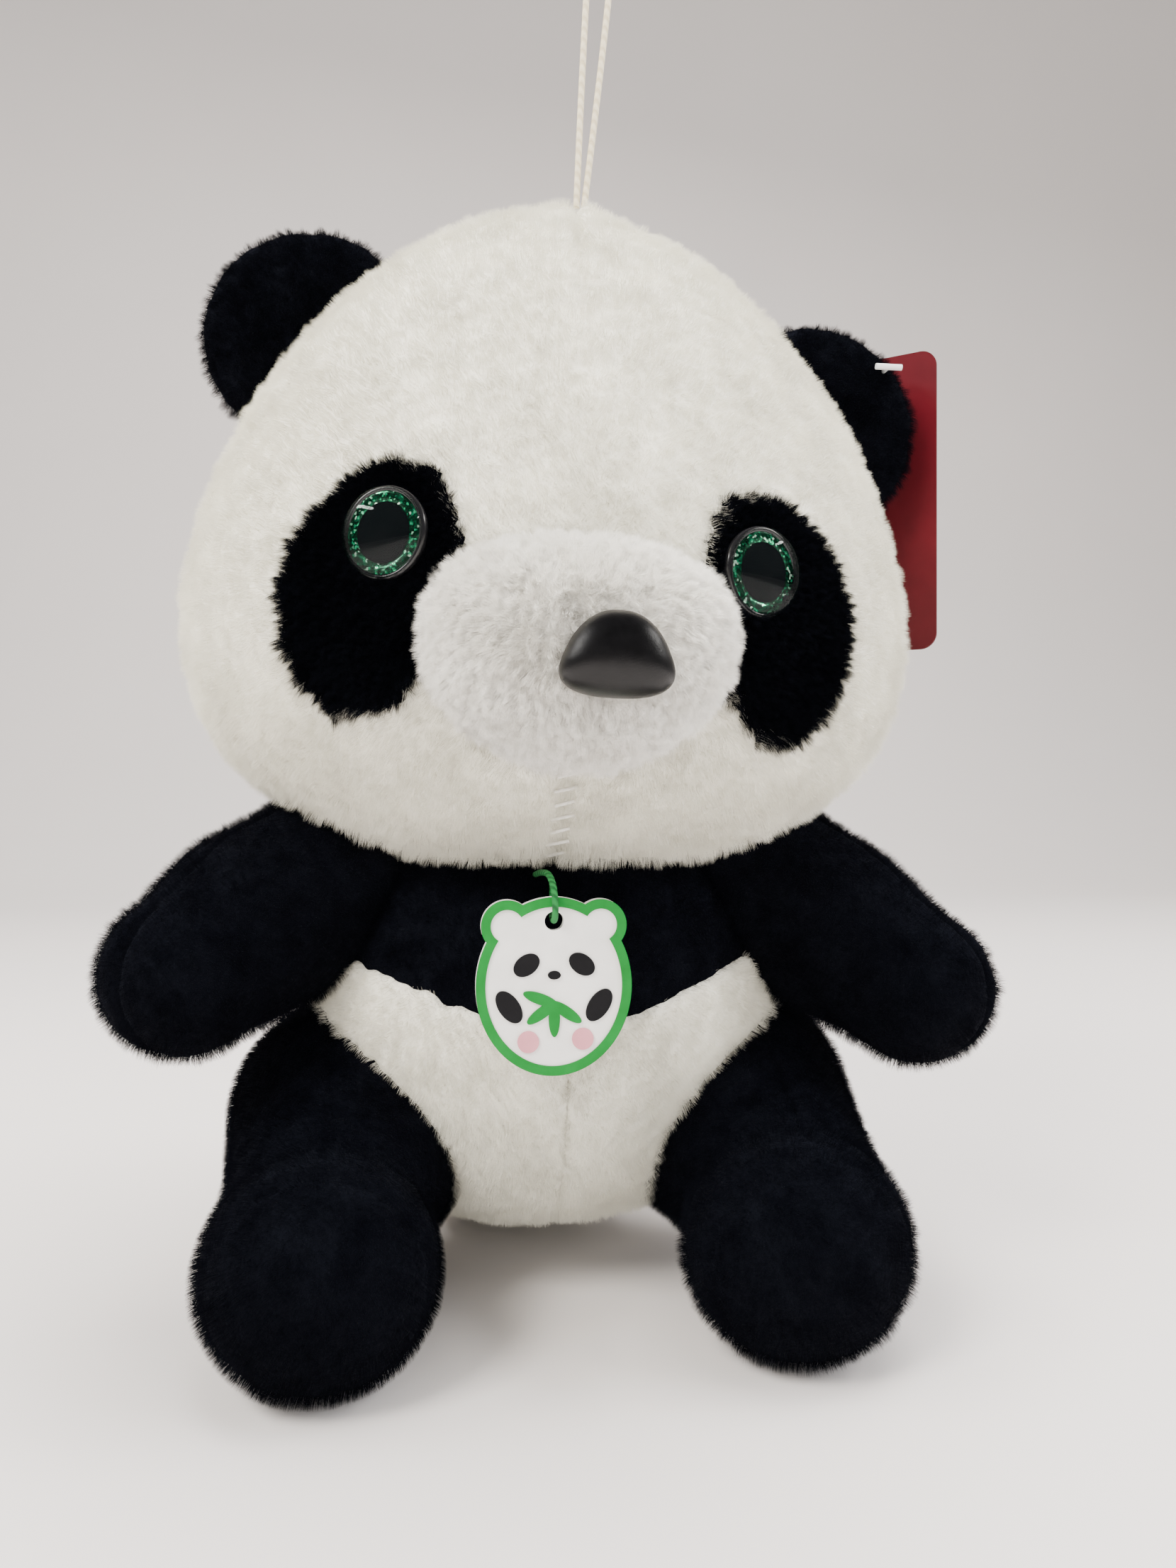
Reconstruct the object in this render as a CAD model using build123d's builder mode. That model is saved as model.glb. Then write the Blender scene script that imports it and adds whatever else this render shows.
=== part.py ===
"""Seated plush panda: sewn skins over stuffing, with safety eyes and nose, charm, swing tag and hanging loop.

Millimetres. +Z is up, the panda faces -Y and its own left side is +X. The origin is on the ground under the neck.
"""
from build123d import *
import os
from math import asin, cos, degrees, pi, radians, sin, tan

os.makedirs("parts", exist_ok=True)

# Cloth and fits
skin = 3.0                  # backing cloth with its pile pressed flat
cloth_gap = 0.25            # between a skin and what it covers
limb_gap = 1.0              # between a limb and the trunk it is sewn to
washer_gap = 0.05           # between a shank and its locking washer

# Head, measured from the neck's pivot
neck_level = 104.0
head_radius = 91.0
head_low = 17.0
head_widest = 71.0
head_high = 196.0
head_roll = 3.8
head_yaw = -2.7
neck_radius = 24.0
neck_gap = 0.6
knot_radius = 3.6

# Muzzle and nose
muzzle_width = 68.0
muzzle_length = 88.0
muzzle_height = 49.0
muzzle_level = 58.0
muzzle_centre = 78.0
nose_width = 20.0
nose_height = 15.0
nose_thickness = 11.0
nose_level = 54.0
nose_offset = 4.5
nose_proud = 6.0
shank_radius = 2.5
shank_length = 16.0
washer_radius = 9.0
washer_thickness = 1.6

# Eyes
eye_spread = 40.5
eye_level = 81.0
eye_radius = 10.0
eye_turn = 29.0
backing_thickness = 2.2
iris_radius = 8.9
iris_thickness = 0.5
lens_height = 4.6
patch_thickness = 2.0
patch_long = 29.0
patch_short = 19.5
patch_slant = 32.0
patch_out = 6.0
patch_down = 13.0
patch_depth = 25.0
washer_seat = 5.0

# Ears and the tag pinned to the left one
ear_radius = 31.0
ear_thickness = 15.0
ear_face_angle = 18.0
ear_spread = 72.0
ear_level = 150.0
ear_back = 16.0
ear_lean = 53.0
ear_gap = 2.6
tag_width = 54.0
tag_height = 94.0
tag_thickness = 0.8
tag_corner = 5.0
tag_turn = -40.0
tag_hole_radius = 2.2
tag_hole_drop = 11.0
tag_standoff = 21.0
fastener_radius = 0.6
fastener_bar = 8.0
fastener_out = 25.0
fastener_along = 3.0

# Trunk
trunk_radius = 62.0
trunk_sink = 6.0
trunk_widest = 52.0
trunk_high = 128.0
trunk_cut = 112.0
chest_level = 80.0
tail_radius = 15.0
tail_level = 34.0

# Arms and legs
arm_root = Vector(55, -13, 104)
arm_root_radius = 16.0
hand = Vector(95, -45, 91)
hand_radius = 19.5
arm_swing = 20.0
leg_root = Vector(54, -24, 38)
leg_root_radius = 29.0
foot_radius = 26.0
foot = Vector(56, -69, 25)
leg_swing = 5.0
sole_setback = 14.0

# Charm on the chest
charm_width = 36.0
charm_height = 41.0
charm_thickness = 2.4
charm_centre = Vector(-4, -65, 88)
rim_width = 2.2
charm_relief = 0.5
charm_hole_radius = 2.2
charm_hole_rise = 15.0

# Cords: control points of each route
loop_diameter = 1.8
loop_route = [
    (9.6, -2, 302), (12.7, -2, 374.7), (15.2, -2, 377.2), (18.6, -2, 377.2), (21.1, -2, 374.7), (12.0, -2, 302),
]
charm_cord_diameter = 1.5
charm_cord_route = [
    (-6.2, -40.6, 111.5), (-6.0, -47.0, 112.6), (-5.4, -55.0, 113.4), (-4.8, -63.0, 113.6),
    (-4.3, -68.4, 111.0), (-4.0, -69.4, 106.5), (-4.0, -67.4, 103.0), (-4.0, -62.0, 103.0),
    (-3.6, -58.6, 106.4), (-3.0, -54.0, 110.4), (-2.4, -47.5, 110.2), (-1.8, -41.0, 109.0),
]

head_place = Location((0, 0, neck_level), (0, head_roll, head_yaw))
neck_pivot = Vector(0, 0, neck_level)
eye_seat = patch_thickness + cloth_gap + 0.9
sides = {"left": 1, "right": -1}


def moved_plane(place, plane):
    """A plane carried along with the part of the body that it belongs to."""
    return Plane(place * plane.location)


def save(piece, name):
    """Label one finished piece and write its file."""
    piece.part.label = name
    export_step(piece.part, f"parts/{name}.step")


def egg_section(radius, low, widest, high, grow):
    """Half outline of an egg: tangent arcs from its lowest point to the widest level and up to the top."""
    flat, tight = arc_radii(radius, widest - low, 45)
    top, slow = arc_radii(radius, high - widest, 45)
    with BuildSketch() as section:
        with BuildLine():
            bottom = JernArc((0, low - grow), (1, 0), flat + grow, 45)
            corner = JernArc(bottom @ 1, bottom % 1, tight + grow, 45)
            wall = JernArc(corner @ 1, corner % 1, slow + grow, 45)
            crown = JernArc(wall @ 1, wall % 1, top + grow, 45)
            Line(crown @ 1, bottom @ 0)
        make_face()
    return section.sketch_local


def arc_radii(width, height, angle):
    """Radii of two tangent arcs that span a quarter outline, the first from its axis through the angle."""
    rise = sin(radians(angle))
    run = cos(radians(angle))
    first = (width * run - height * (1 - rise)) / (rise + run - 1)
    second = (height * rise - width * (1 - run)) / (rise + run - 1)
    return first, second


def band(low, high, mode=Mode.INTERSECT):
    """Keep, or take away, what lies between two levels of the section being drawn."""
    with Locations((head_radius, (low + high) / 2)):
        Rectangle(2 * head_radius, high - low, mode=mode)


def turned(place, start, arc, outer, inner=None):
    """Solid of a section turned about the Z axis of its place, less an inner section."""
    facing = Vector(sin(radians(start)), -cos(radians(start)), 0)
    sector = moved_plane(place, Plane(origin=(0, 0, 0), x_dir=(-facing.Y, facing.X, 0), z_dir=facing))
    with BuildPart() as form:
        with BuildSketch(sector):
            add(outer)
            if inner:
                add(inner, mode=Mode.SUBTRACT)
        revolve(axis=Axis(sector.origin, sector.y_dir), revolution_arc=arc)
    return form.part


def limb(root, root_radius, tip, tip_radius):
    """Two balls of different size, joined by the cone that touches both."""
    along = tip - root
    lean = asin((root_radius - tip_radius) / along.length)
    plane = Plane(origin=root, x_dir=along, z_dir=along.cross(Vector(0, 0, 1)))
    with BuildPart() as form:
        with BuildSketch(plane):
            with BuildLine():
                near = CenterArc((0, 0), root_radius, 90 - degrees(lean), 90 + degrees(lean))
                far = CenterArc((along.length, 0), tip_radius, 0, 90 - degrees(lean))
                Line(near @ 0, far @ 1)
                Line(near @ 1, far @ 0)
            make_face()
        revolve(axis=Axis(root, along))
    return form.part


def above_ground(form, level):
    """The form without what would reach below the level."""
    with BuildPart() as standing:
        add(form)
        split(bisect_by=Plane.XY.offset(level), keep=Keep.TOP)
    return standing.part


def across(point, side):
    """The same point on the panda's left or right side."""
    return Vector(side * point.X, point.Y, point.Z)


def head_section(grow):
    """Half outline of the head with the neck's socket under it."""
    form = egg_section(head_radius, head_low, head_widest, head_high, grow)
    with BuildSketch() as section:
        add(form)
        Circle(neck_radius + neck_gap, mode=Mode.SUBTRACT)
    return section.sketch_local


def head_form(grow):
    return turned(head_place, 0, 360, egg_section(head_radius, head_low, head_widest, head_high, grow))


def muzzle_form(grow):
    sizes = (muzzle_width / 2 + grow, muzzle_length / 2 + grow, muzzle_height / 2 + grow)
    return scale(Sphere(1), by=sizes).moved(head_place * Pos(0, -muzzle_centre, muzzle_level))


def ear_place(side):
    return head_place * Location((side * ear_spread, ear_back, ear_level), (0, side * ear_lean, 0))


def ear_half(side, facing):
    """Front or back half of a round cushion with a narrow edge."""
    face_radius, edge_radius = arc_radii(ear_radius, ear_thickness / 2, ear_face_angle)
    with BuildSketch() as section:
        with BuildLine():
            face = JernArc((0, ear_thickness / 2), (1, 0), face_radius, -ear_face_angle)
            edge = JernArc(face @ 1, face % 1, edge_radius, ear_face_angle - 90)
            Polyline(edge @ 1, (0, 0), face @ 0)
        make_face()
    return turned(ear_place(side) * Location((0, 0, 0), (facing * 90, 0, 0)), 0, 360, section.sketch_local)


def trunk_section(grow, low=0.0, high=None):
    """Half outline of the pear-shaped trunk, flat underneath and where the head sits, between two levels."""
    form = egg_section(trunk_radius, -trunk_sink, trunk_widest, trunk_high, grow)
    with BuildSketch() as section:
        add(form)
        band(max(low, -grow), min(high or trunk_cut, trunk_cut + grow))
        with Locations((0, neck_level)):
            Circle(neck_radius + neck_gap, mode=Mode.SUBTRACT)
    return section.sketch_local


def arm_form(side, grow, spread=0.0):
    """One arm. The spread widens the hand's end to the space that the arm swings through."""
    root = across(arm_root, side)
    return limb(root, arm_root_radius + grow, across(hand, side), hand_radius + grow + spread)


def leg_form(side, grow, spread=0.0):
    """One leg with its foot, flat where it stands."""
    root = across(leg_root, side)
    form = limb(root, leg_root_radius + grow, across(foot, side), foot_radius + grow + spread)
    return above_ground(form, -grow)


def rod(place, radius, length):
    """A round bar centred on a place, along its Z axis."""
    with BuildPart() as bar:
        Cylinder(radius, length)
    return bar.part.moved(place)


def front_face(x, z):
    """How far the head's front surface is ahead of the neck at this place."""
    height = head_high - head_widest if z > head_widest else head_widest - head_low
    radius_squared = head_radius ** 2 * (1 - ((z - head_widest) / height) ** 2)
    return (radius_squared - x ** 2) ** 0.5


def eye_plane(side):
    """Plane on the face at an eye, looking out."""
    outward = Vector(side * sin(radians(eye_turn)), -cos(radians(eye_turn)), 0)
    origin = (side * eye_spread, -front_face(eye_spread, eye_level), eye_level)
    return moved_plane(head_place, Plane(origin=origin, x_dir=(-outward.Y, outward.X, 0), z_dir=outward))


def skin_piece(name, outer, inner, seams, cuts=()):
    """Part of a skin: the outer form up to its seams, less the inner form and what passes through it."""
    with BuildPart() as piece:
        add(outer)
        for seam, keep in seams:
            split(bisect_by=seam, keep=keep)
        add(inner, mode=Mode.SUBTRACT)
        for cut in cuts:
            add(cut, mode=Mode.SUBTRACT)
    save(piece, name)


def solid_piece(name, form, cuts=()):
    """A form less what reaches into it."""
    with BuildPart() as piece:
        add(form)
        for cut in cuts:
            add(cut, mode=Mode.SUBTRACT)
    save(piece, name)


def washer_piece(name, plane):
    """Locking washer on a shank, its outer face on the plane."""
    with BuildPart() as piece:
        with BuildSketch(plane):
            Circle(washer_radius)
            Circle(shank_radius + washer_gap, mode=Mode.SUBTRACT)
        extrude(amount=-washer_thickness)
    save(piece, name)


# Neck: the ball of stuffing that the head turns and nods on
with BuildPart() as neck_ball:
    with Locations(neck_pivot):
        Sphere(neck_radius)
save(neck_ball, "neck_stuffing")


# Head skins and stuffing, and the knot under the crown that the hanging loop is tied to
head_outer = head_section(0)
head_inner = head_section(-skin)
face_starts = {"face_panel_left": 270, "face_panel_right": 180, "head_back_left": 0, "head_back_right": 90}
for name, start in face_starts.items():
    quarter = turned(head_place, start, 90, head_outer, head_inner)
    with BuildPart() as panel:
        add(quarter)
        if name.startswith("face"):
            with Locations(eye_plane(1 if start == 270 else -1)):
                Cylinder(shank_radius + cloth_gap, 6 * skin, mode=Mode.SUBTRACT)
    save(panel, name)

knot_level = head_high - skin - cloth_gap - 1.5 * knot_radius
knot_room = 1.5 * knot_radius
with BuildSketch() as head_core:
    add(head_section(-skin - cloth_gap))
    with Locations((0, head_high)):
        Rectangle(2 * knot_room, 2 * (head_high - knot_level + 2 * knot_room), mode=Mode.SUBTRACT)
head_filling = turned(head_place, 180, 360, head_core.sketch_local)
with BuildPart() as head_stuffing:
    add(head_filling)
    for side in sides.values():
        with Locations(eye_plane(side)):
            Box(2 * washer_radius + 2, 2 * washer_radius + 2, 2 * shank_length, mode=Mode.SUBTRACT)
save(head_stuffing, "head_stuffing")

with BuildPart() as knot:
    with Locations(head_place * Pos(0, 0, knot_level)):
        Sphere(knot_radius)
save(knot, "loop_knot")


# Muzzle
nose_plane = moved_plane(
    head_place,
    Plane(
        origin=(nose_offset, -muzzle_centre - muzzle_length / 2, nose_level), x_dir=(1, 0, 0), z_dir=(0, -1, 0)
    ),
)
nose_back = nose_plane.offset(nose_proud - nose_thickness)
head_clear = head_form(cloth_gap)
with BuildPart() as nose_pocket:
    with BuildSketch(nose_back.offset(-cloth_gap)):
        Ellipse(nose_width / 2 + 1, nose_height / 2 + 1)
    extrude(amount=2 * nose_thickness)
nose_hole = rod(nose_back.location, shank_radius + cloth_gap, 6 * skin)
muzzle_cuts = [head_clear, nose_pocket.part, nose_hole]
skin_piece("muzzle_cover", muzzle_form(0), muzzle_form(-skin), [], muzzle_cuts)
nose_room = rod(nose_back.location, washer_radius + 1, 2 * shank_length + 2)
solid_piece("muzzle_stuffing", muzzle_form(-skin - cloth_gap), [head_clear, nose_room])


# Nose: a rounded triangle, wide below, on a shank with a locking washer
with BuildPart() as nose:
    with BuildSketch(nose_back):
        with BuildLine():
            Polyline(
                (-nose_width / 2, -nose_height / 4), (-nose_width / 4, nose_height / 2),
                (nose_width / 4, nose_height / 2), (nose_width / 2, -nose_height / 4),
                (nose_width / 5, -nose_height / 2), (-nose_width / 5, -nose_height / 2), close=True,
            )
        make_face()
        fillet(vertices(), nose_width / 8)
    extrude(amount=nose_thickness)
    fillet(faces().sort_by(Axis(nose_back.origin, nose_back.z_dir))[-1].edges(), nose_width / 9)
    with BuildSketch(nose_back):
        Circle(shank_radius)
    extrude(amount=-shank_length)
save(nose, "nose")
washer_piece("nose_washer", nose_back.offset(-3 * skin))


# Eyes: patch, backing with its shank, iris disc, clear lens and locking washer
muzzle_clear = muzzle_form(cloth_gap)
patch_outer = head_form(cloth_gap + patch_thickness)
for side_name, side in sides.items():
    plane = eye_plane(side)
    seat = plane.offset(eye_seat)
    iris_seat = seat.offset(backing_thickness - iris_thickness)
    lens_seat = seat.offset(backing_thickness)

    with BuildPart() as patch:
        with BuildSketch(plane.offset(-patch_depth)):
            with Locations((side * patch_out, -patch_down)):
                Ellipse(patch_short, patch_long, rotation=side * patch_slant)
        extrude(amount=2 * patch_depth)
        add(patch_outer, mode=Mode.INTERSECT)
        add(head_clear, mode=Mode.SUBTRACT)
        add(muzzle_clear, mode=Mode.SUBTRACT)
        with Locations(plane):
            Cylinder(shank_radius + cloth_gap, 2 * patch_depth, mode=Mode.SUBTRACT)
    save(patch, f"eye_patch_{side_name}")

    with BuildPart() as backing:
        with BuildSketch(seat):
            Circle(eye_radius)
        extrude(amount=backing_thickness)
        with BuildSketch(iris_seat):
            Circle(iris_radius + washer_gap)
        extrude(amount=2 * iris_thickness, mode=Mode.SUBTRACT)
        with BuildSketch(seat):
            Circle(shank_radius)
        extrude(amount=-shank_length)
    save(backing, f"eye_backing_{side_name}")

    with BuildPart() as iris:
        with BuildSketch(iris_seat):
            Circle(iris_radius)
        extrude(amount=iris_thickness)
    save(iris, f"eye_iris_{side_name}")

    dome_radius = (eye_radius ** 2 + lens_height ** 2) / (2 * lens_height)
    with BuildPart() as lens:
        with Locations(lens_seat.offset(lens_height - dome_radius)):
            Sphere(dome_radius)
        split(bisect_by=lens_seat, keep=Keep.TOP)
    save(lens, f"eye_lens_{side_name}")

    washer_piece(f"eye_washer_{side_name}", plane.offset(-washer_seat))


# Ears, front and back skins, clear of the head by the fold that they flop on
fastener_point = (ear_place(sides["left"]) * Pos(fastener_along, 0, fastener_out)).position
ear_clear = head_form(ear_gap)
fastener_hole = rod(Location(fastener_point, (90, 0, 0)), fastener_radius + washer_gap, 3 * ear_thickness)
for side_name, side in sides.items():
    ear_cuts = [ear_clear, fastener_hole] if side_name == "left" else [ear_clear]
    solid_piece(f"ear_front_{side_name}", ear_half(side, 1), ear_cuts)
    solid_piece(f"ear_back_{side_name}", ear_half(side, -1), ear_cuts)


# Tag fastener: a thin pin through the ear with a bar at each end
pin_front = fastener_point.Y - ear_thickness / 2 - 1
pin_back = fastener_point.Y + tag_standoff + 7
with BuildPart() as fastener:
    with Locations(Location((fastener_point.X, (pin_front + pin_back) / 2, fastener_point.Z), (90, 0, 0))):
        Cylinder(fastener_radius, pin_back - pin_front)
    for bar_place in (pin_front, pin_back):
        with Locations(Location((fastener_point.X, bar_place, fastener_point.Z), (0, 90, 0))):
            Cylinder(1.5 * fastener_radius, fastener_bar)
save(fastener, "tag_fastener")


# Tag: a rounded card that swings on the fastener
tag_hole = fastener_point + Vector(0, tag_standoff, 0)
tag_facing = Vector(sin(radians(tag_turn)), -cos(radians(tag_turn)), 0)
tag_plane = Plane(origin=tag_hole, x_dir=(-tag_facing.Y, tag_facing.X, 0), z_dir=tag_facing)
with BuildPart() as tag:
    with BuildSketch(tag_plane.offset(-tag_thickness / 2)):
        with Locations((0, tag_hole_drop - tag_height / 2)):
            RectangleRounded(tag_width, tag_height, tag_corner)
        Circle(tag_hole_radius, mode=Mode.SUBTRACT)
    extrude(amount=tag_thickness)
save(tag, "hang_tag")


# Trunk skins and stuffing, with room for the limbs through their travel
arm_spread = (hand - arm_root).length * sin(radians(arm_swing))
leg_spread = (foot - leg_root).length * sin(radians(leg_swing))
limb_room = []
for side in sides.values():
    limb_room.append(arm_form(side, limb_gap, arm_spread))
    limb_room.append(leg_form(side, limb_gap, leg_spread))

trunk_inner = trunk_section(-skin)
trunk_pieces = [("chest_panel", 0, 360, chest_level, trunk_cut)]
quarter_starts = {
    "belly_panel_left": 270, "belly_panel_right": 180, "back_panel_left": 0, "back_panel_right": 90,
}
for name, start in quarter_starts.items():
    trunk_pieces.append((name, start, 90, 0, chest_level))
for name, start, arc, low, high in trunk_pieces:
    solid_piece(name, turned(Location(), start, arc, trunk_section(0, low, high), trunk_inner), limb_room)

solid_piece("trunk_stuffing", turned(Location(), 0, 360, trunk_section(-skin - cloth_gap)), limb_room)

trunk_clear = egg_section(trunk_radius, -trunk_sink, trunk_widest, trunk_high, cloth_gap)
with BuildPart() as tail_ball:
    with Locations((0, trunk_radius - 2, tail_level)):
        Sphere(tail_radius)
solid_piece("tail", tail_ball.part, [turned(Location(), 0, 360, trunk_clear)])


# Arms
for side_name, side in sides.items():
    root = across(arm_root, side)
    along = across(hand, side) - root
    arm_seam = Plane(origin=root, x_dir=along, z_dir=Vector(0, 0, 1).cross(along) * side)
    for part_name, keep in (("arm_back", Keep.TOP), ("arm_front", Keep.BOTTOM)):
        skin_piece(f"{part_name}_{side_name}", arm_form(side, 0), arm_form(side, -skin), [(arm_seam, keep)])
    solid_piece(f"arm_stuffing_{side_name}", arm_form(side, -skin - cloth_gap))


# Legs
for side_name, side in sides.items():
    root = across(leg_root, side)
    tip = across(foot, side)
    along = (tip - root).normalized()
    leg_seam = Plane(origin=root, x_dir=along, z_dir=Vector(0, 0, 1).cross(along) * side)
    sole_seam = Plane(origin=tip + along * sole_setback, z_dir=along)
    leg_outer = leg_form(side, 0)
    leg_inner = leg_form(side, -skin)
    for part_name, keep in (("leg_outer", Keep.TOP), ("leg_inner", Keep.BOTTOM)):
        seams = [(sole_seam, Keep.BOTTOM), (leg_seam, keep)]
        skin_piece(f"{part_name}_{side_name}", leg_outer, leg_inner, seams)
    skin_piece(f"foot_sole_{side_name}", leg_outer, leg_inner, [(sole_seam, Keep.TOP)])
    solid_piece(f"leg_stuffing_{side_name}", leg_form(side, -skin - cloth_gap))


# Charm: a plate with a raised rim, a leaf sprig, dark markings and paw pads
charm_plane = Plane(origin=charm_centre, x_dir=(1, 0, 0), z_dir=(0, -1, 0))
charm_front = charm_plane.offset(charm_thickness / 2)
charm_ears = [(-0.3 * charm_width, 0.34 * charm_height), (0.3 * charm_width, 0.34 * charm_height)]
with BuildPart() as charm_plate:
    with BuildSketch(charm_plane.offset(-charm_thickness / 2)):
        Ellipse(charm_width / 2, charm_height / 2)
        with Locations(*charm_ears):
            Circle(charm_width / 6)
        with Locations((0, charm_hole_rise)):
            Circle(charm_hole_radius, mode=Mode.SUBTRACT)
    extrude(amount=charm_thickness)
save(charm_plate, "charm_plate")

with BuildPart() as charm_rim:
    with BuildSketch(charm_front):
        Ellipse(charm_width / 2, charm_height / 2)
        with Locations(*charm_ears):
            Circle(charm_width / 6)
        Ellipse(charm_width / 2 - rim_width, charm_height / 2 - rim_width, mode=Mode.SUBTRACT)
        with Locations(*charm_ears):
            Circle(charm_width / 6 - rim_width, mode=Mode.SUBTRACT)
    extrude(amount=charm_relief)
save(charm_rim, "charm_rim")

leaf_centre = Vector(0, -4)
with BuildPart() as charm_leaf:
    with BuildSketch(charm_front):
        for leaf_turn in (160, 215, 270, 325):
            reach = Vector(3.4 * cos(radians(leaf_turn)), 3.4 * sin(radians(leaf_turn)))
            with Locations(leaf_centre + reach):
                Ellipse(4.2, 1.3, rotation=leaf_turn)
    extrude(amount=charm_relief)
save(charm_leaf, "charm_leaf")

mark_shapes = [
    ((-6.4, 5.0), (3.3, 2.3), 35), ((6.4, 5.0), (3.3, 2.3), -35), ((0, 2.6), (1.5, 1.0), 0),
    ((-10.4, -4.5), (4.2, 2.4), -55), ((10.4, -4.5), (4.2, 2.4), 55),
]
with BuildPart() as charm_marks:
    with BuildSketch(charm_front):
        for centre, radii, turn in mark_shapes:
            with Locations(centre):
                Ellipse(*radii, rotation=turn)
    extrude(amount=charm_relief)
save(charm_marks, "charm_marks")

with BuildPart() as charm_pads:
    with BuildSketch(charm_front):
        with Locations((-6, -12.6), (6.6, -12.2)):
            Circle(2.5)
    extrude(amount=charm_relief)
save(charm_pads, "charm_pads")


def cord(name, route, diameter):
    """Tube along straight runs joined by the largest tangent arcs that they allow."""
    points = [Vector(point) for point in route]
    runs = [after - before for before, after in zip(points, points[1:])]
    turns = [first.get_angle(second) for first, second in zip(runs, runs[1:])]
    radii = [
        0.45 * min(first.length, second.length) / tan(radians(turn / 2))
        for first, second, turn in zip(runs, runs[1:], turns)
    ]
    with BuildPart() as tube:
        with BuildLine():
            path = FilletPolyline(*points, radius=radii)
        with BuildSketch(Plane(origin=path @ 0, z_dir=path % 0)):
            Circle(diameter / 2)
        sweep()
    save(tube, name)
    ideal = pi * diameter ** 2 / 4 * path.length
    print(name, "length", round(path.length, 1), "volume ratio", round(tube.part.volume / ideal, 4))
    print(name, "turns", [round(turn) for turn in turns], "radii", [round(radius, 1) for radius in radii])


# Cords: the loop that the panda hangs by, and the loop that the charm hangs on
cord("hanging_loop", loop_route, loop_diameter)
cord("charm_cord", charm_cord_route, charm_cord_diameter)
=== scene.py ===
from math import cos, pi, radians, sin

import bmesh
import bpy
import numpy as np
from mathutils import Matrix, Vector


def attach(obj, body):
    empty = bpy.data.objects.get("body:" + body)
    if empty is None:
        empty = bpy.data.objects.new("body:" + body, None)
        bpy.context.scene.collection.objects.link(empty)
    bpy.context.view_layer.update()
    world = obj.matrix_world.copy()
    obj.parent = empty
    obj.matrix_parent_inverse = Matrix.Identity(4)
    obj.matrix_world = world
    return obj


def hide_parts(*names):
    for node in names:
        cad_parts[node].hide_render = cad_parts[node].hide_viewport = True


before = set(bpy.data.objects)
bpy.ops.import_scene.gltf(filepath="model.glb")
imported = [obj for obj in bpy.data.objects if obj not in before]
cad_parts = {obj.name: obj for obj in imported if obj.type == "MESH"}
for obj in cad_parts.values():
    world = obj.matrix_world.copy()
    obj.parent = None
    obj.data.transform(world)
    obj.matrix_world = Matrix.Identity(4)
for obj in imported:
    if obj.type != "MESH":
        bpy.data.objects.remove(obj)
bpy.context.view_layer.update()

scene = bpy.context.scene

# Shapes are written in millimetres. Each mesh is scaled to metres as it is made.
MM = 0.001

# Head: an egg with a sloping forehead. It sits on the neck, rolled to one side and turned a little.
NECK_LEVEL = 104.0
HEAD_ROLL = 2.7
EAR_ROLL = 3.8                  # the ears sit a little lower on one side than the head's roll alone gives
HEAD_YAW = -2.7
HEAD_WIDTH = 96.0               # half-widths of the egg, across and front to back
HEAD_DEPTH = 86.0
HEAD_SHIFT = (-3.0, -6.7)       # its axis, from the neck's
HEAD_LOW = 8.5                  # levels above the neck
HEAD_WIDEST = 74.8
HEAD_HIGH = 191.0
HEAD_FALL = (1.56, 2.37)        # powers of its outline, above and below the widest level
HEAD_ROUND = (1.76, 2.45)
HEAD_FLATTEN = 1.43             # the forehead slopes back faster than the sides come in
CROWN = (10.6, -2.0, 296.0)     # where the hanging loop comes out, in the frame
CROWN_PULL = 4.5
CROWN_REACH = 9.0

# Face, in the head's place. A side of 1 is the panda's left.
MUZZLE_CENTRE = (0.0, -78.0, 58.5)
MUZZLE_SIZE = (32.0, 43.0, 22.8)
NOSE_PLACE = (4.5, -123.5, 54.5)
NOSE_TILT = -10.0
EYE_PLACES = {1: (38.2, 78.0), -1: (40.5, 81.0)}
EYE_TURN = 29.0
EYE_RADIUS = 10.0
EYE_STAND = 2.2
PUPIL_RADIUS = 6.5
LENS_RISE = 4.6
PATCH_HALF = (20.0, 27.5)
PATCH_SLANT = 20.0
PATCH_SHIFT = {1: (8.8, -9.0), -1: (-5.8, -10.5)}

EAR_RADIUS = 31.0
EAR_HALF_THICKNESS = 8.0
EAR_HOLLOW = 2.2
EAR_CENTRE = (72.0, 16.0, 150.0)
EAR_LEAN = 53.0
EAR_SETS = {"left": (6.0, -2.0), "right": (-2.0, 8.5)}      # each ear's own slide and rise from there

# Body, in the frame
CHEST_EDGE = 76.0               # level of the white belly's upper edge in the middle
CHEST_EDGE_RISE = 14.0          # and its rise to the sides
FLOOR_SKIM = 0.5                # the lowest that cloth comes above the floor
HAND_LEVELS = {"left": 81.5, "right": 89.0}
PALM_SPREAD = {"left": 94.0, "right": 90.5}
ANKLE_SPREAD = {"left": 54.0, "right": 56.5}
SOLE_SEAM = -76.0
FAR = 99.0                      # stands for a seam that isn't on this part of a surface

sides = {"left": 1, "right": -1}


def head_place(roll):
    """Place of the head's parts on the neck."""
    level = Matrix.Translation((0, 0, NECK_LEVEL)) @ Matrix.Rotation(radians(roll), 4, "Y")
    return level @ Matrix.Rotation(radians(HEAD_YAW), 4, "Z")


HEAD_PLACE = head_place(HEAD_ROLL)
EAR_HEAD_PLACE = head_place(EAR_ROLL)


# ---------------------------------------------------------------- camera and cords

camera = bpy.data.objects.new("camera", bpy.data.cameras.new("camera"))
scene.collection.objects.link(camera)
camera.location = (-0.034, -0.3355, 0.1345)
camera.rotation_euler = (radians(90), 0, radians(-8))
camera.data.lens = 27.05
camera.data.sensor_width = 36
camera.data.clip_start = 0.01
scene.camera = camera

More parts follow.
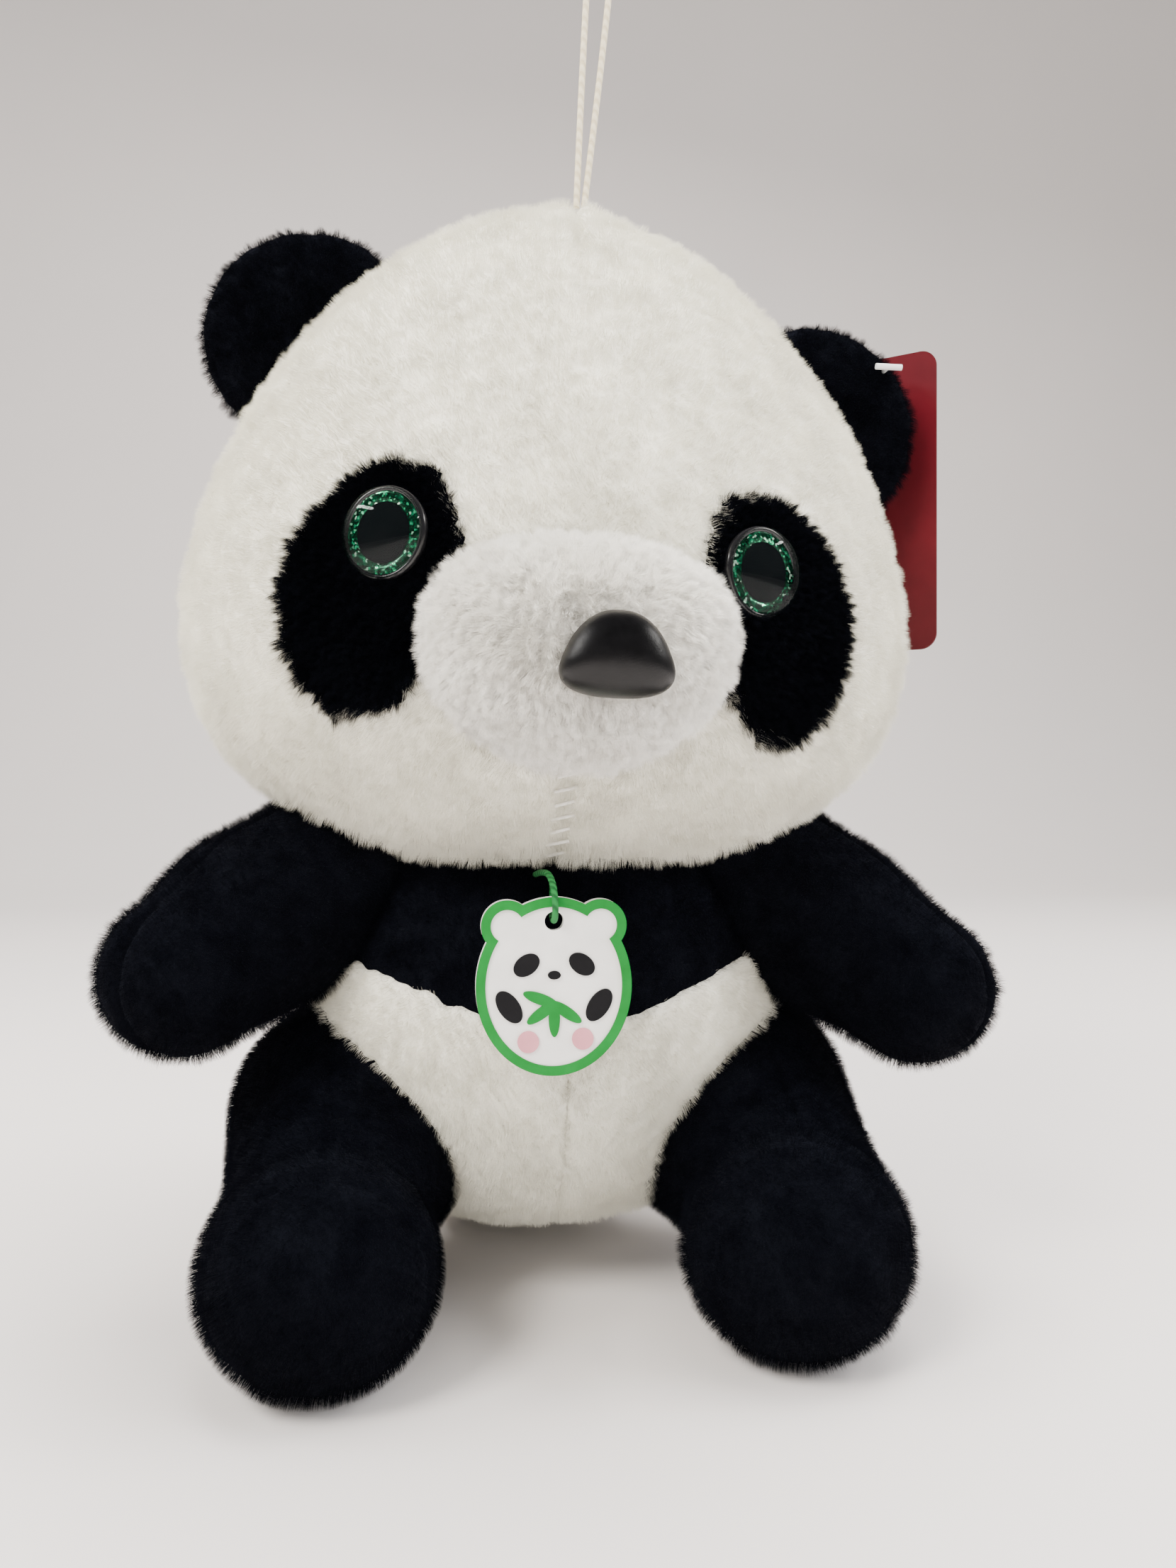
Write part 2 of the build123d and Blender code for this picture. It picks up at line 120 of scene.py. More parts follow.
LOOP_DIAMETER = 1.8
LOOP_ROUTE = [
    (9.5, -2, 299), (12.7, -2, 374.7), (15.2, -2, 377.2), (18.6, -2, 377.2), (21.1, -2, 374.7), (11.7, -2, 299),
]
CHARM_CORD_DIAMETER = 1.5
CHARM_CORD_ROUTE = [
    (-6.2, -40.6, 111.5), (-6.0, -47.0, 112.6), (-5.4, -55.0, 113.4), (-4.8, -63.0, 113.6),
    (-4.3, -68.4, 111.0), (-4.0, -69.4, 106.5), (-4.0, -67.4, 103.0), (-4.0, -62.0, 103.0),
    (-3.6, -58.6, 106.4), (-3.0, -54.0, 110.4), (-2.4, -47.5, 110.2), (-1.8, -41.0, 109.0),
]


def cord_curve(name, route, diameter):
    """A smooth round cord through a route's control points."""
    curve = bpy.data.curves.new(name, "CURVE")
    curve.dimensions = "3D"
    curve.bevel_depth = diameter / 2 * MM
    curve.bevel_resolution = 5
    curve.resolution_u = 24
    curve.use_fill_caps = True
    spline = curve.splines.new("NURBS")
    spline.points.add(len(route) - 1)
    for point, place in zip(spline.points, route):
        point.co = (*(Vector(place) * MM), 1)
    spline.order_u = 3
    spline.use_endpoint_u = True
    obj = bpy.data.objects.new(name, curve)
    scene.collection.objects.link(obj)
    return obj


# ---------------------------------------------------------------- materials

def nodes_of(name):
    """A new node material, its node tree and its shader."""
    material = bpy.data.materials.new(name)
    material.use_nodes = True
    tree = material.node_tree
    return material, tree, tree.nodes["Principled BSDF"]


def noise(tree, scale, detail=4.0):
    """Noise in the object's own space, in waves per metre."""
    place = tree.nodes.new("ShaderNodeTexCoord")
    node = tree.nodes.new("ShaderNodeTexNoise")
    node.inputs["Scale"].default_value = scale
    node.inputs["Detail"].default_value = detail
    node.inputs["Roughness"].default_value = 0.55
    tree.links.new(place.outputs["Object"], node.inputs["Vector"])
    return node.outputs["Fac"]


def blend_colours(tree, factor, stops):
    """Colours picked along a factor."""
    ramp = tree.nodes.new("ShaderNodeValToRGB")
    elements = ramp.color_ramp.elements
    while len(elements) < len(stops):
        elements.new(0.5)
    for element, (place, colour) in zip(elements, stops):
        element.position = place
        element.color = (*colour, 1)
    tree.links.new(factor, ramp.inputs["Fac"])
    return ramp.outputs["Color"]


def bump(tree, shader, factor, distance):
    """Relief of a depth in metres, where a factor is high."""
    node = tree.nodes.new("ShaderNodeBump")
    node.inputs["Distance"].default_value = distance
    node.inputs["Strength"].default_value = 1.0
    tree.links.new(factor, node.inputs["Height"])
    tree.links.new(node.outputs["Normal"], shader.inputs["Normal"])


def surface(name, light, dark, scale, roughness, relief, gloss=0.5, sheen=0.0, sheen_tint=(1.0, 1.0, 1.0)):
    """A material whose colour drifts between two shades, with a finer relief of the same kind."""
    material, tree, shader = nodes_of(name)
    middle = [(a + b) / 2 for a, b in zip(light, dark)]
    shader.inputs["Base Color"].default_value = (*middle, 1)
    shader.inputs["Roughness"].default_value = roughness
    shader.inputs["Specular IOR Level"].default_value = gloss
    shader.inputs["Sheen Weight"].default_value = sheen
    shader.inputs["Sheen Roughness"].default_value = 0.5
    shader.inputs["Sheen Tint"].default_value = (*sheen_tint, 1)
    colours = blend_colours(tree, noise(tree, scale), [(0.32, dark), (0.68, light)])
    tree.links.new(colours, shader.inputs["Base Color"])
    bump(tree, shader, noise(tree, 9 * scale, 3.0), relief)
    return material


WARM_SHEEN = {"sheen": 0.3, "sheen_tint": (1.0, 0.97, 0.9)}
BRIGHT_SHEEN = {"sheen": 0.35, "sheen_tint": (1.0, 0.97, 0.9)}
NAVY_SHEEN = {"sheen": 0.02, "sheen_tint": (0.3, 0.36, 0.55)}

# Plush: a rough cloth under the pile
white_plush = surface(
    "white_plush", (0.85, 0.83, 0.73), (0.70, 0.68, 0.585), 60, 0.95, 0.0006, gloss=0.1, **WARM_SHEEN)
bright_plush = surface(
    "bright_plush", (0.98, 0.965, 0.915), (0.93, 0.91, 0.85), 90, 0.95, 0.0006, gloss=0.1, **BRIGHT_SHEEN)
black_plush = surface(
    "black_plush", (0.0030, 0.0035, 0.0056), (0.0012, 0.0014, 0.0025), 110, 0.95, 0.0006, gloss=0.04, **NAVY_SHEEN)
thread = surface("white_thread", (0.85, 0.83, 0.78), (0.66, 0.64, 0.58), 900, 0.7, 0.0001)

# Moulded plastic, card and felt
nose_plastic = surface(
    "nose_plastic", (0.0035, 0.0035, 0.004), (0.002, 0.002, 0.0023), 420, 0.37, 0.00004, gloss=0.28)
washer_plastic = surface("washer_plastic", (0.80, 0.80, 0.78), (0.70, 0.70, 0.68), 120, 0.45, 0.00003)
eye_plastic = surface("eye_plastic", (0.010, 0.010, 0.011), (0.006, 0.006, 0.007), 90, 0.25, 0.00001)
pupil_plastic = surface(
    "pupil_plastic", (0.004, 0.004, 0.005), (0.002, 0.002, 0.003), 90, 0.3, 0.00001, gloss=0.0)
fastener_plastic = surface("fastener_plastic", (0.78, 0.79, 0.80), (0.68, 0.69, 0.70), 200, 0.35, 0.00002)
red_card = surface("red_card", (0.085, 0.0035, 0.008), (0.065, 0.0025, 0.006), 60, 0.5, 0.00003, gloss=0.25)
charm_white = surface("charm_white", (0.80, 0.79, 0.76), (0.72, 0.71, 0.68), 130, 0.5, 0.00004)
charm_green = surface(
    "charm_green", (0.004, 0.19, 0.028), (0.003, 0.15, 0.020), 150, 0.5, 0.00004, gloss=0.15)
charm_black = surface(
    "charm_black", (0.006, 0.006, 0.007), (0.004, 0.004, 0.005), 150, 0.5, 0.00004, gloss=0.15)
charm_pink = surface("charm_pink", (0.62, 0.26, 0.30), (0.54, 0.21, 0.25), 150, 0.5, 0.00004)


def twisted(name, light, dark, pitch):
    """Cord laid from strands: slanting bands, one for each pitch, with a relief of their own. Their dark colour is
    painted shade in the grooves between strands.
    """
    material, tree, shader = nodes_of(name)
    shader.inputs["Base Color"].default_value = (*light, 1)
    shader.inputs["Roughness"].default_value = 0.8
    place = tree.nodes.new("ShaderNodeTexCoord")
    wave = tree.nodes.new("ShaderNodeTexWave")
    wave.bands_direction = "DIAGONAL"
    wave.inputs["Scale"].default_value = 0.3 / pitch
    wave.inputs["Distortion"].default_value = 1.5
    tree.links.new(place.outputs["Object"], wave.inputs["Vector"])
    # The bands are painted darker where the relief is low: painted shade in the grooves between the strands
    bands_with_painted_shade = blend_colours(tree, wave.outputs["Fac"], [(0.1, dark), (0.6, light)])
    tree.links.new(bands_with_painted_shade, shader.inputs["Base Color"])
    bump(tree, shader, wave.outputs["Fac"], 0.0003)
    return material


# Each cord's second colour is painted shade for the grooves between its strands
cream_cord = twisted("cream_cord", (0.74, 0.66, 0.48), (0.60, 0.52, 0.35), 0.0016)
green_cord = twisted("green_cord", (0.008, 0.17, 0.035), (0.004, 0.08, 0.018), 0.0012)

# Glitter: small coloured flakes, each with its own shade and height, in a green base
glitter_iris, glitter, glitter_shader = nodes_of("glitter_iris")
glitter_shader.inputs["Base Color"].default_value = (0.004, 0.08, 0.035, 1)
glitter_shader.inputs["Roughness"].default_value = 0.22
glitter_shader.inputs["Metallic"].default_value = 0.75
glitter_place = glitter.nodes.new("ShaderNodeTexCoord")
flakes = glitter.nodes.new("ShaderNodeTexVoronoi")
flakes.inputs["Scale"].default_value = 2000
glitter.links.new(glitter_place.outputs["Object"], flakes.inputs["Vector"])
flake_shade = glitter.nodes.new("ShaderNodeSeparateColor")
glitter.links.new(flakes.outputs["Color"], flake_shade.inputs["Color"])
flake_colours = [
    (0.0, (0.001, 0.012, 0.006)), (0.55, (0.002, 0.045, 0.020)), (0.80, (0.006, 0.16, 0.07)),
    (0.92, (0.04, 0.60, 0.28)), (0.98, (0.70, 1.0, 0.80)),
]
flake_blend = blend_colours(glitter, flake_shade.outputs["Red"], flake_colours)
glitter.links.new(flake_blend, glitter_shader.inputs["Base Color"])
bump(glitter, glitter_shader, flake_shade.outputs["Green"], 0.0004)

# The lens is nearly clear: mostly its reflections show
clear_lens, lens_tree, lens_shader = nodes_of("clear_lens")
lens_shader.inputs["Base Color"].default_value = (0.004, 0.012, 0.008, 1)
lens_shader.inputs["Roughness"].default_value = 0.03
lens_shader.inputs["Specular IOR Level"].default_value = 1.0
lens_shader.inputs["Alpha"].default_value = 0.12
bump(lens_tree, lens_shader, noise(lens_tree, 160, 1.0), 0.00002)


# ---------------------------------------------------------------- mesh tools

def mesh_object(name, points, faces, material, body):
    """A piece from points in millimetres, riding on its body."""
    mesh = bpy.data.meshes.new(name)
    mesh.from_pydata([tuple(p) for p in np.asarray(points) * MM], [], faces)
    mesh.validate()
    mesh.polygons.foreach_set("use_smooth", [True] * len(mesh.polygons))
    mesh.materials.append(material)
    obj = bpy.data.objects.new(name, mesh)
    scene.collection.objects.link(obj)
    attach(obj, body)
    return obj


def ball_grid(detail):
    """Directions spread evenly over a ball, with the triangles between them."""
    form = bmesh.new()
    bmesh.ops.create_icosphere(form, subdivisions=detail, radius=1)
    points = np.array([v.co for v in form.verts])
    faces = [[v.index for v in f.verts] for f in form.faces]
    form.free()
    return points, faces


def blown(centre, stretch, field, detail, reach=160.0):
    """Points where rays from a centre leave the space in which the field is negative."""
    rays, faces = ball_grid(detail)
    rays = rays * stretch
    rays /= np.linalg.norm(rays, axis=1)[:, None]
    near = np.zeros(len(rays))
    far = np.full(len(rays), reach)
    for _ in range(34):
        middle = (near + far) / 2
        inside = field(centre + rays * middle[:, None]) < 0
        near = np.where(inside, middle, near)
        far = np.where(inside, far, middle)
    return centre + rays * near[:, None], faces


def normals_of(points, faces):
    """Outward direction at each point of a closed triangle mesh."""
    corners = np.array(faces)
    flat = np.cross(points[corners[:, 1]] - points[corners[:, 0]], points[corners[:, 2]] - points[corners[:, 0]])
    total = np.zeros_like(points)
    for i in range(3):
        np.add.at(total, corners[:, i], flat)
    return total / np.linalg.norm(total, axis=1)[:, None]


def moved(place, points):
    """Points carried from their own place into the frame."""
    turn = np.array(place.to_3x3())
    return np.asarray(points) @ turn.T + np.array(place.translation)


def smooth_step(value, low, high):
    """From 0 at the low value to 1 at the high one, easing at both ends."""
    share = np.clip((value - low) / (high - low), 0, 1)
    return share * share * (3 - 2 * share)


def waves(points, size, seed):
    """Smooth random swell from sines in several directions, from -1 to 1."""
    chance = np.random.default_rng(seed)
    total = np.zeros(len(points))
    for _ in range(9):
        direction = chance.normal(size=3)
        direction /= np.linalg.norm(direction)
        total += np.sin(points @ direction * 2 * pi / (size * chance.uniform(0.7, 1.5)) + chance.uniform(0, 6.3))
    return total / 4.0


def pile_bumps(points, faces, seed, height=0.35):
    """Plush pressed and brushed unevenly: small swells over the whole surface."""
    swell = waves(points, 9, seed) * 0.6 + waves(points, 3.5, seed + 1) * 0.4
    return points + normals_of(points, faces) * (swell * height)[:, None]


def groove(points, faces, distance, width, depth):
    """Press a seam into the surface where the distance is near nothing."""
    return points - normals_of(points, faces) * (depth * np.exp(-(distance / width) ** 2))[:, None]


def smooth_union(fields, softness):
    """One field from several, their joins rounded."""
    joined = fields[0]
    for other in fields[1:]:
        share = np.clip(0.5 + 0.5 * (other - joined) / softness, 0, 1)
        joined = other * (1 - share) + joined * share - softness * share * (1 - share)
    return joined


def ball(points, centre, radii):
    """Roughly the distance outside an ellipsoid."""
    scaled = (points - np.array(centre)) / np.array(radii)
    return (np.linalg.norm(scaled, axis=1) - 1) * min(radii)


def capsule(points, a, b, radius_a, radius_b):
    """Distance outside a round bar whose radius changes along it."""
    a, b = np.array(a, float), np.array(b, float)
    along = np.clip((points - a) @ (b - a) / ((b - a) @ (b - a)), 0, 1)
    return np.linalg.norm(points - a - along[:, None] * (b - a), axis=1) - radius_a - along * (radius_b - radius_a)


def pile(obj, length, count, children, density=None, seed=1, thick=0.07, ragged=0.3):
    """Short plush pile on a piece, thinner where the density says so. Its length is in millimetres,
    its strand width too, and each of its strands has a number of child strands around it."""
    if density is not None:
        group = obj.vertex_groups.new(name="pile")
        for index, weight in enumerate(density):
            group.add([index], float(weight), "REPLACE")
    obj.modifiers.new("pile", "PARTICLE_SYSTEM")
    system = obj.particle_systems[0]
    system.seed = seed
    if density is not None:
        system.vertex_group_density = "pile"
    hair = system.settings
    hair.type = "HAIR"
    hair.use_advanced_hair = True
    hair.count = count
    hair.hair_length = length * MM
    hair.normal_factor = length * MM / 4
    hair.object_align_factor = (0, 0, -length * MM / 16)
    hair.factor_random = ragged * length * MM / 4
    hair.hair_step = 3
    hair.display_step = 2
    hair.render_step = 1
    hair.child_type = "INTERPOLATED"
    hair.child_percent = 1
    hair.rendered_child_count = children
    hair.child_length = 1.0
    hair.clump_factor = 0.12
    hair.roughness_1 = 0.0006
    hair.roughness_1_size = 0.002
    hair.roughness_2 = 0.0012
    hair.roughness_2_size = 0.8
    hair.root_radius = thick
    hair.tip_radius = 0.2 * thick
    hair.radius_scale = MM
    hair.use_hair_bspline = False
    obj.show_instancer_for_render = True


# ---------------------------------------------------------------- head

def head_outline(level):
    """Shares of the head's full width and depth at a level, and the level's share of the way to an end."""
    above = level > HEAD_WIDEST
    height = np.where(above, HEAD_HIGH - HEAD_WIDEST, HEAD_WIDEST - HEAD_LOW)
    share = np.abs(level - HEAD_WIDEST) / height
    inside = np.clip(1 - share ** np.where(above, *HEAD_FALL), 1e-6, None)
    width = inside ** (1 / np.where(above, *HEAD_ROUND))
    depth = np.where(above, width ** HEAD_FLATTEN, width)
    return width, depth, share


def head_field(points):
    """Negative inside the head, zero on its surface."""
    width, depth, share = head_outline(points[:, 2])
    across = (points[:, 0] - HEAD_SHIFT[0]) / (HEAD_WIDTH * width)
    along = (points[:, 1] - HEAD_SHIFT[1]) / (HEAD_DEPTH * depth)
    return np.where(share < 1, across ** 2 + along ** 2 - 1, 1.0)


head_points, head_faces = blown(np.array([*HEAD_SHIFT, 82.0]), (1, 1, 1), head_field, 7)

# Its seams: down the middle under the muzzle, a dart at the crown, down the back, and over the sides
front = smooth_step(-head_points[:, 1], 0, 30)
low_front = front * smooth_step(48 - head_points[:, 2], 0, 12)
dart = smooth_step(head_points[:, 2], 165, 180) * smooth_step(-head_points[:, 1], -12, 4)
head_points = groove(head_points, head_faces, np.where(low_front > 0.01, head_points[:, 0], FAR), 1.3, 1.6)
head_points = groove(head_points, head_faces, np.where(dart > 0.01, head_points[:, 0], FAR), 1.7, 3.0)
back_seam = np.where(head_points[:, 1] > 5, head_points[:, 0], FAR)
head_points = groove(head_points, head_faces, back_seam, 1.2, 1.3)
side_seam = np.where(head_points[:, 2] < 168, head_points[:, 1] - 14, FAR)
head_points = groove(head_points, head_faces, side_seam, 1.3, 1.2)

# The hanging loop draws the crown up into a small peak
crown = np.array(HEAD_PLACE.inverted() @ Vector(CROWN))
from_crown = np.linalg.norm(head_points[:, :2] - crown[:2], axis=1)
peak = CROWN_PULL * np.exp(-(from_crown / CROWN_REACH) ** 2)
head_points[:, 2] += np.where(head_points[:, 2] > HEAD_WIDEST, peak, 0)
head_points += normals_of(head_points, head_faces) * (1.3 * waves(head_points, 70, 3))[:, None]
head_surface = pile_bumps(head_points, head_faces, 5)
head_skin = mesh_object("head_skin", moved(HEAD_PLACE, head_surface), head_faces, white_plush, "head")
face_nodes = ["face_panel_left", "face_panel_right", "head_back_left", "head_back_right", "head_stuffing"]
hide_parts(*face_nodes)


def applique(points, faces, depth_inside, rise, sink, seed):
    """A cloth panel sewn on a surface: it stands proud inside its outline and dips under at the edge.
    Gives its points and faces, and how far inside the outline each point is."""
    keep = depth_inside > -sink - 2.5
    index = np.cumsum(keep) - 1
    chosen = [[index[i] for i in f] for f in faces if keep[f[0]] and keep[f[1]] and keep[f[2]]]
    lift = -sink + (rise + sink) * smooth_step(depth_inside, -2.2, 1.0)
    lifted = points + normals_of(points, faces) * lift[:, None]
    swell = 0.3 * waves(lifted, 4.0, seed)
    lifted = lifted + normals_of(points, faces) * swell[:, None]
    return lifted[keep], chosen, depth_inside[keep]


def face_front(x, level):
    """Front of the head at a place across it and a level, in the head's place."""
    width, depth, _ = head_outline(np.array([level]))
    across = (x - HEAD_SHIFT[0]) / (HEAD_WIDTH * width[0])
    return HEAD_SHIFT[1] - HEAD_DEPTH * depth[0] * (1 - across ** 2) ** 0.5


def eye_frame(side):
    """Place of an eye: on the face, its Z axis looking out."""
    turn = radians(side * EYE_TURN)
    out = Vector((sin(turn), -cos(turn), 0.0))
    spread, level = EYE_PLACES[side]
    across_axis = Vector((-out.y, out.x, 0.0))
    up_axis = out.cross(across_axis)
    spot = Vector((side * spread, face_front(side * spread, level), level))
    return Matrix.Translation(spot) @ Matrix((across_axis, up_axis, out)).transposed().to_4x4()


# Eye patches: slanted ovals around the eyes, with an uneven edge
under_patches = np.zeros(len(head_surface))
for side_name, side in sides.items():
    eye = eye_frame(side)
    seen_from_eye = moved(eye.inverted(), head_surface)
    tilt = radians(side * PATCH_SLANT)
    across, up = (seen_from_eye[:, :2] - np.array(PATCH_SHIFT[side])).T
    turned = np.stack([across * cos(tilt) + up * sin(tilt), -across * sin(tilt) + up * cos(tilt)], axis=1)
    reach = np.linalg.norm(turned / np.array(PATCH_HALF), axis=1)
    inside = (1 - reach) * PATCH_HALF[0] + 0.9 * waves(head_surface, 6, 11)
    inside = np.where(seen_from_eye[:, 2] < -60, -FAR, inside)
    patch_points, patch_faces, patch_inside = applique(head_surface, head_faces, inside, 1.0, 1.2, 21)
    patch = mesh_object(f"patch_{side_name}", moved(HEAD_PLACE, patch_points), patch_faces, black_plush, "head")
    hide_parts(f"eye_patch_{side_name}")
    under_patches = np.maximum(under_patches, smooth_step(inside, 0.0, 1.0))
    from_eye = np.hypot(*moved(eye.inverted(), patch_points)[:, :2].T)
    shown = smooth_step(patch_inside, -0.6, 0.4) * smooth_step(from_eye, 8.5, 10.0)
    pile(patch, 2.5, 2400, 28, shown, seed=31, thick=0.055, ragged=0.5)


# ---------------------------------------------------------------- muzzle and nose

def muzzle_field(points):
    """A full rounded snout, broad above and narrower towards the chin."""
    x, y, z = (points - np.array(MUZZLE_CENTRE)).T
    level = z / MUZZLE_SIZE[2]
    width = MUZZLE_SIZE[0] * (1 + 0.10 * np.clip(level, 0, 1) - 0.32 * np.clip(-level, 0, 1) ** 1.6)
    return np.abs(x / width) ** 2.3 + np.abs(y / MUZZLE_SIZE[1]) ** 2.1 + np.abs(level) ** 2.4 - 1


muzzle_points, muzzle_faces = blown(np.array(MUZZLE_CENTRE), (1, 1, 1), muzzle_field, 6, 80)
chin_line = np.where(muzzle_points[:, 2] < MUZZLE_CENTRE[2] - 8, muzzle_points[:, 0] - 1.5, FAR)
muzzle_points = groove(muzzle_points, muzzle_faces, chin_line, 1.4, 0.8)
muzzle_surface = pile_bumps(muzzle_points, muzzle_faces, 8, 0.3)
muzzle = mesh_object("muzzle_skin", moved(HEAD_PLACE, muzzle_surface), muzzle_faces, bright_plush, "head")
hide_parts("muzzle_cover", "muzzle_stuffing")

# Pile grows only where the skin shows, and thinly along its seams
hidden_by_muzzle = smooth_step(muzzle_field(head_surface), -0.25, -0.05)
front_seams = np.where((low_front > 0.01) | (dart > 0.01), np.abs(head_points[:, 0]), FAR)
seam_distance = np.minimum.reduce([front_seams, np.abs(back_seam), np.abs(side_seam)])
head_shown = hidden_by_muzzle * (1 - under_patches) * (0.25 + 0.75 * smooth_step(seam_distance, 0.2, 1.6))
pile(head_skin, 2.6, 13000, 36, head_shown, seed=41, ragged=0.45)
muzzle_shown = smooth_step(head_field(muzzle_surface), -0.12, -0.02)
pile(muzzle, 3.0, 4000, 40, muzzle_shown, seed=42, ragged=0.55)


def nose_field(points):
    """A rounded triangle, wide below, domed in front."""
    x, y, z = points.T
    width = 12.4 - 0.40 * (z + 7.0)
    return np.abs(x / width) ** 2.5 + np.abs(y / 7.5) ** 2.2 + np.abs((z + 0.4) / 7.9) ** 2.7 - 1


nose_points, nose_faces = blown(np.array([0.0, 0.0, -1.0]), (1, 1, 1), nose_field, 5, 30)
nose_place = HEAD_PLACE @ Matrix.Translation(NOSE_PLACE) @ Matrix.Rotation(radians(NOSE_TILT), 4, "X")
nose = mesh_object("nose_button", moved(nose_place, nose_points), nose_faces, nose_plastic, "head")
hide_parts("nose")


# ---------------------------------------------------------------- eyes

def turned_shape(name, outline, place, material, body, steps=72):
    """A lathe shape from half an outline of radius and height."""
    points, faces = [], []
    for radius, height in outline:
        for i in range(steps):
            angle = 2 * pi * i / steps
            points.append((radius * cos(angle), radius * sin(angle), height))
    for row in range(len(outline) - 1):
        for i in range(steps):
            j = (i + 1) % steps
            faces.append((row * steps + i, row * steps + j, (row + 1) * steps + j, (row + 1) * steps + i))
    faces.append(tuple(reversed(range(steps))))
    faces.append(tuple((len(outline) - 1) * steps + i for i in range(steps)))
    return mesh_object(name, moved(place, np.array(points)), faces, material, body)


def dome(radius, height, base, count=12):
    """Outline of a low dome from its rim to its top."""
    return [(radius * cos(t) + 0.01, base + height * sin(t)) for t in np.linspace(0, pi / 2, count)]


def make_eye(side_name, side):
    """A safety eye: a cup that holds a glitter ring and a pupil under a low clear dome."""
    place = HEAD_PLACE @ eye_frame(side) @ Matrix.Translation((0, 0, EYE_STAND))
    rim = [
        (8.0, -3.0), (EYE_RADIUS - 0.3, -1.5), (EYE_RADIUS, -0.6), (EYE_RADIUS, 0.4), (EYE_RADIUS - 0.35, 0.8),
        (8.9, 0.8), (8.8, 0.35),
    ]
    cup = turned_shape(f"eye_cup_{side_name}", rim, place, eye_plastic, "head")
    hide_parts(f"eye_backing_{side_name}")
    band = [(8.9, 0.45), (8.9, 0.6), (8.6, 0.72), (PUPIL_RADIUS - 0.1, 0.72), (PUPIL_RADIUS - 0.2, 0.5)]
    ring = turned_shape(f"eye_ring_{side_name}", band, place, glitter_iris, "head")
    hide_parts(f"eye_iris_{side_name}")
    disc = [(PUPIL_RADIUS, 0.45), (PUPIL_RADIUS, 0.78), (PUPIL_RADIUS - 0.3, 0.9), (0.01, 0.95)]
    turned_shape(f"pupil_{side_name}", disc, place, pupil_plastic, "head")
    cover = [(8.75, 0.48), (EYE_RADIUS - 0.4, 0.95)] + dome(EYE_RADIUS - 0.3, LENS_RISE, 1.05)
    lens = turned_shape(f"eye_dome_{side_name}", cover, place, clear_lens, "head", 96)
    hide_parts(f"eye_lens_{side_name}")


for side_name, side in sides.items():
    make_eye(side_name, side)


# ---------------------------------------------------------------- ears

def ear_field(points):
    """Negative inside a round pad with a hollow in its front."""
    x, y, z = points.T
    flat = np.hypot(x, z) / EAR_RADIUS
    thick = EAR_HALF_THICKNESS * np.sqrt(np.clip(1 - flat ** 2.6, 1e-4, None))
    hollow = EAR_HOLLOW * np.exp(-(flat / 0.55) ** 2)
    return np.where(flat < 1, np.where(y < 0, -y - (thick - hollow), y - thick), 1.0)


def make_ear(side_name, side):
    """An ear, sunk into the side of the head."""
    ear_points, ear_faces = blown(np.array([0.0, 0.0, 0.0]), (1, 0.5, 1), ear_field, 6, 50)
    ear_points = pile_bumps(ear_points, ear_faces, 60 + side, 0.5)
    slide, out = EAR_SETS[side_name]
    spread, back, level = EAR_CENTRE
    ear_place = EAR_HEAD_PLACE @ Matrix.Translation((side * spread, back, level))
    ear_place = ear_place @ Matrix.Rotation(radians(side * EAR_LEAN), 4, "Y")
    ear_place = ear_place @ Matrix.Translation((side * slide, 0, out))
    ear_points = moved(ear_place, ear_points)
    ear = mesh_object(f"ear_skin_{side_name}", ear_points, ear_faces, black_plush, f"ear_{side_name}")
    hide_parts(f"ear_front_{side_name}", f"ear_back_{side_name}")
    pile(ear, 2.6, 2200, 30, seed=50 + side, thick=0.055)


for side_name, side in sides.items():
    make_ear(side_name, side)


# ---------------------------------------------------------------- trunk and belly

def trunk_field(points):
    """Negative inside the trunk: a pear of blended balls, flat where it sits."""
    parts = [
        ball(points, (0, 34, 26), (42, 24, 24)),
        ball(points, (0, 10, 57), (64, 56, 44)),
        ball(points, (0, -2, 80), (62, 52, 40)),
        ball(points, (0, -2, 104), (56, 40, 30)),
    ]
    return np.maximum(smooth_union(parts, 14), 1.0 - points[:, 2])


trunk_points, trunk_faces = blown(np.array([0.0, 0.0, 60.0]), (1, 1, 1), trunk_field, 7)
middle_seam = np.where(trunk_points[:, 2] < 80, trunk_points[:, 0] - 1, FAR)
trunk_points = groove(trunk_points, trunk_faces, middle_seam, 1.3, 1.2)
trunk_points += normals_of(trunk_points, trunk_faces) * (0.9 * waves(trunk_points, 60, 13))[:, None]
trunk_surface = pile_bumps(trunk_points, trunk_faces, 15)
trunk = mesh_object("trunk_skin", trunk_surface, trunk_faces, black_plush, "trunk")
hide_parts("chest_panel", "back_panel_left", "back_panel_right", "trunk_stuffing", "neck_stuffing")

# White below an uneven line that is lowest in the middle
edge_rise = CHEST_EDGE_RISE * smooth_step(np.abs(trunk_surface[:, 0]), 4, 62)
chest_edge = CHEST_EDGE + edge_rise + 0.6 * waves(trunk_surface, 7, 19)
belly_inside = chest_edge - trunk_surface[:, 2]
belly_points, belly_faces, belly_depth = applique(trunk_surface, trunk_faces, belly_inside, 1.2, 1.2, 23)
belly_points[:, 2] = np.maximum(belly_points[:, 2], 0.4)
belly = mesh_object("belly_skin", belly_points, belly_faces, white_plush, "trunk")
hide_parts("belly_panel_left", "belly_panel_right")
pile(belly, 2.3, 5500, 32, smooth_step(belly_depth, -0.4, 0.6), seed=61)
pile(trunk, 2.2, 4200, 26, smooth_step(-belly_inside, 0.0, 1.5), seed=62, thick=0.05)

tail_points, tail_faces = blown(
    np.array([0.0, 62.0, 34.0]), (1, 1, 1), lambda p: ball(p, (0, 62, 34), (14, 13, 14)), 5, 40)
tail = mesh_object("tail_puff", pile_bumps(tail_points, tail_faces, 70, 0.5), tail_faces, white_plush, "trunk")
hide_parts("tail")
pile(tail, 2.6, 800, 30, seed=63)


# ---------------------------------------------------------------- arms and legs

